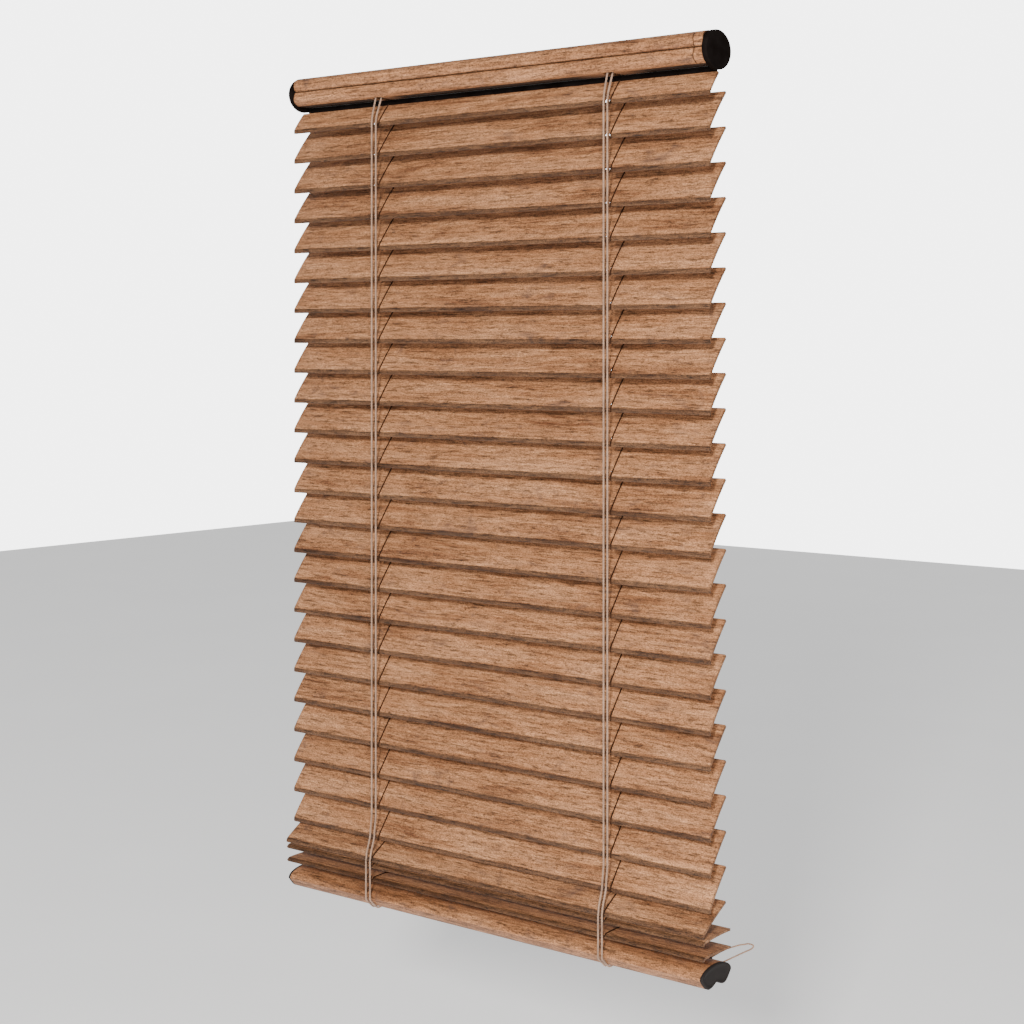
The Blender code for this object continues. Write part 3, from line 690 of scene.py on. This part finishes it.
def tube(name, outline, inner, x_low, x_high, body):
    steps = max(1, round((x_high - x_low) / TUBE_STEP))
    xs = [x_low + (x_high - x_low) * i / steps for i in range(steps + 1)]
    xs = [xs[0], xs[0] + SEAM_WIDTH] + xs[1:-1] + [xs[-1] - SEAM_WIDTH, xs[-1]]
    return link_mesh(name, loft([[(x, *p) for p in outline] for x in xs],
                                [[(x, *p) for p in inner] for x in xs]), RAIL_WOOD, body)


def unrolled(middle):
    """A place on the board that runs round the section, so that the print follows the surface."""
    def along(co):
        angle = math.atan2(co.z - middle[1], co.y - middle[0])
        return (co.x, PRINT_RADIUS * angle, 0.0)
    return along


def rail_painted_shade_and_seams(co):
    """Painted shade in the groove between the lobes and over the flat underside, and a dark line at
    the collar's seam.
    """
    if any(abs(co.x - x) < 1e-4 for x in SEAM_XS):
        return SEAM_SHADE
    depth = max(0.0, 1 - abs(co.z - RAIL_Z) / GROOVE_PAINTED_SHADE_WIDTH)
    groove = GROOVE_PAINTED_SHADE * depth if co.y < RAIL_Y - LOBE_ZONE else 0.0
    under = UNDER_PAINTED_SHADE if co.z < RAIL_Z - RAIL_HALF_HEIGHT + UNDER_ZONE else 0.0
    return max(groove, under)


def add_head_rail():
    outer, inner = rail_outline(), rail_outline(RAIL_WALL)
    low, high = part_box("head_rail")
    rail = tube("head_rail_shell", outer, inner, low[0], high[0], "frame")
    paint_wood(rail, 7, rail_painted_shade_and_seams, unrolled((RAIL_Y, RAIL_Z)))
    floor = RAIL_Z - RAIL_HALF_HEIGHT
    for side, (x, _) in STATIONS.items():
        add_cutter(f"slot_{side}", (x + SLOT_SIDES[0], -SLOT_HALF_DEPTH, floor - RAIL_WALL),
                   (x + SLOT_SIDES[1], SLOT_HALF_DEPTH, floor + 3 * RAIL_WALL), rail)
    add_bevel(rail)
    finish_piece(rail, "rail_wood", "head_rail")
    low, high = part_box("head_collar")
    collar = tube("head_collar_shell", outer, inner, low[0], high[0], "frame")
    paint_wood(collar, 8, rail_painted_shade_and_seams, unrolled((RAIL_Y, RAIL_Z)))
    add_bevel(collar)
    finish_piece(collar, "rail_wood", "head_collar")
    for side, sign in (("left", -1), ("right", 1)):
        add_head_cap(side, sign)


def add_head_cap(side, sign):
    """An oval moulding: a rounded rim round a slightly sunken disc with a shallow dish."""
    low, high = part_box(f"head_cap_{side}")
    outer_x = high[0] if sign > 0 else low[0]
    middle = (low[2] + high[2]) / 2
    depth, height = (high[1] - low[1]) / 2, (high[2] - low[2]) / 2
    sections = []
    for back, inset in HEAD_CAP_RINGS:
        oval = arc((RAIL_Y, middle), (depth - inset, height - inset), 0, 360, CAP_STEPS)[:-1]
        sections.append([(outer_x - sign * back, y, z) for y, z in oval])
    cap = link_mesh(f"head_cap_{side}_moulding", loft(sections), BLACK, "frame", 60)
    finish_piece(cap, "black_cap", f"head_cap_{side}")


def bottom_outline(inset=0.0):
    half = BOTTOM_HALF_DEPTH - inset
    points = arc((0, 0), (half, BOTTOM_TOP - inset), 0, 180, TOP_STEPS)
    for i in range(1, UNDER_STEPS):
        y = -half * math.cos(math.pi * i / UNDER_STEPS)
        points.append((y, -under_depth(y, half, BOTTOM_UNDER - inset)))
    return [(y, BOTTOM_Z + z) for y, z in points]


def add_bottom_rail():
    low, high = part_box("bottom_rail")
    rail = tube("bottom_rail_shell", bottom_outline(), bottom_outline(BOTTOM_WALL), low[0], high[0],
                "frame")
    paint_wood(rail, 11, along=unrolled((0.0, BOTTOM_Z)))
    add_bevel(rail)
    finish_piece(rail, "rail_wood", "bottom_rail")
    for side, sign in (("left", -1), ("right", 1)):
        name = f"bottom_cap_{side}"
        low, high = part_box(name)
        outer_x, inner_x = (high[0], low[0]) if sign > 0 else (low[0], high[0])
        sections = []
        for back, inset in BOTTOM_CAP_RINGS:
            x = outer_x + (inner_x - outer_x) * back
            sections.append([(x, y, z) for y, z in bottom_outline(inset)])
        cap = link_mesh(f"{name}_moulding", loft(sections), CHARCOAL, "frame", 60)
        finish_piece(cap, "grey_cap", name)


# Hidden and small parts ------------------------------------------------------------------------

ANGULAR_NODES = ("bracket", "loop_anchor", "cord_plug", "drum_cradle", "tilter_housing")


def dress_cad_nodes():
    """The CAD nodes that stay get their material, and the angular ones a softened edge."""
    # The black light strip under the head rail paints the shadow in the gap between the rail and the
    # top slat.
    looks = {"bracket_left": ZINC, "bracket_right": ZINC, "tilt_shaft": ZINC, "tilter_worm": ZINC,
             "loop_anchor": CHARCOAL, "light_strip": BLACK}
    for name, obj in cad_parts.items():
        if obj.hide_render:
            continue
        material = looks.get(name, NYLON)
        if name.startswith("cord_plug"):
            material = CHARCOAL
        obj.data.materials.clear()
        obj.data.materials.append(material)
        if name.startswith(ANGULAR_NODES):
            add_bevel(obj)


# Stage -----------------------------------------------------------------------------------------

FLOOR_Z, FLOOR_HALF = -1.30, 6
FLOOR_GLOW = 0.45
AMBIENT, SURROUND = 0.42, 5.0
# Name, place, aim, width and height, power and colour of each soft box.
LIGHTS = (
    ("key", (2.1, -4.0, 0.95), (0, 0, -0.5), (0.6, 0.6), 330, (1.0, 0.97, 0.93)),
    ("right", (1.6, -1.4, -0.45), (0.25, 0, -0.85), (0.4, 0.4), 26, (1.0, 0.96, 0.94)),
)


def add_stage():
    bm = bmesh.new()
    bmesh.ops.create_grid(bm, x_segments=2, y_segments=2, size=FLOOR_HALF)
    mesh = bpy.data.meshes.new("floor")
    bm.to_mesh(mesh)
    bm.free()
    floor = bpy.data.objects.new("floor", mesh)
    bpy.context.scene.collection.objects.link(floor)
    floor.location = (0, 0, FLOOR_Z)
    material, tree, shader = new_material("pale_floor")
    place_on = node(tree, "TexCoord").outputs["Object"]
    mottling = noise(tree, place_on, 3.0)
    tree.links.new(ramp(tree, mottling, ((0.3, grey(0.88)), (0.7, grey(0.92)))),
                   shader.inputs["Base Color"])
    shader.inputs["Roughness"].default_value = 0.8
    shader.inputs["Emission Color"].default_value = (1, 1, 1, 1)
    shader.inputs["Emission Strength"].default_value = FLOOR_GLOW
    mesh.materials.append(material)


def add_light(name, place_at, aim, size, power, colour):
    data = bpy.data.lights.new(name, "AREA")
    data.shape = "RECTANGLE"
    data.size, data.size_y = size
    data.energy = power
    data.color = colour
    light = bpy.data.objects.new(name, data)
    light.location = place_at
    direction = Vector(aim) - Vector(place_at)
    light.rotation_euler = direction.to_track_quat("-Z", "Y").to_euler()
    bpy.context.scene.collection.objects.link(light)


def add_lights():
    """A surround that looks white but lights dimly, and two soft boxes."""
    world = bpy.data.worlds.new("studio")
    world.use_nodes = True
    tree = world.node_tree
    background = tree.nodes["Background"]
    background.inputs["Color"].default_value = (1, 1, 1, 1)
    seen = tree.nodes.new("ShaderNodeLightPath").outputs["Is Camera Ray"]
    strength = tree.nodes.new("ShaderNodeMapRange")
    strength.inputs["To Min"].default_value = AMBIENT
    strength.inputs["To Max"].default_value = SURROUND
    tree.links.new(seen, strength.inputs["Value"])
    tree.links.new(strength.outputs["Result"], background.inputs["Strength"])
    bpy.context.scene.world = world
    for light in LIGHTS:
        add_light(*light)


add_camera()
add_cords()
add_pull_loop()
add_slats()
add_head_rail()
add_bottom_rail()
dress_cad_nodes()
add_stage()
add_lights()

bpy.context.view_layer.update()
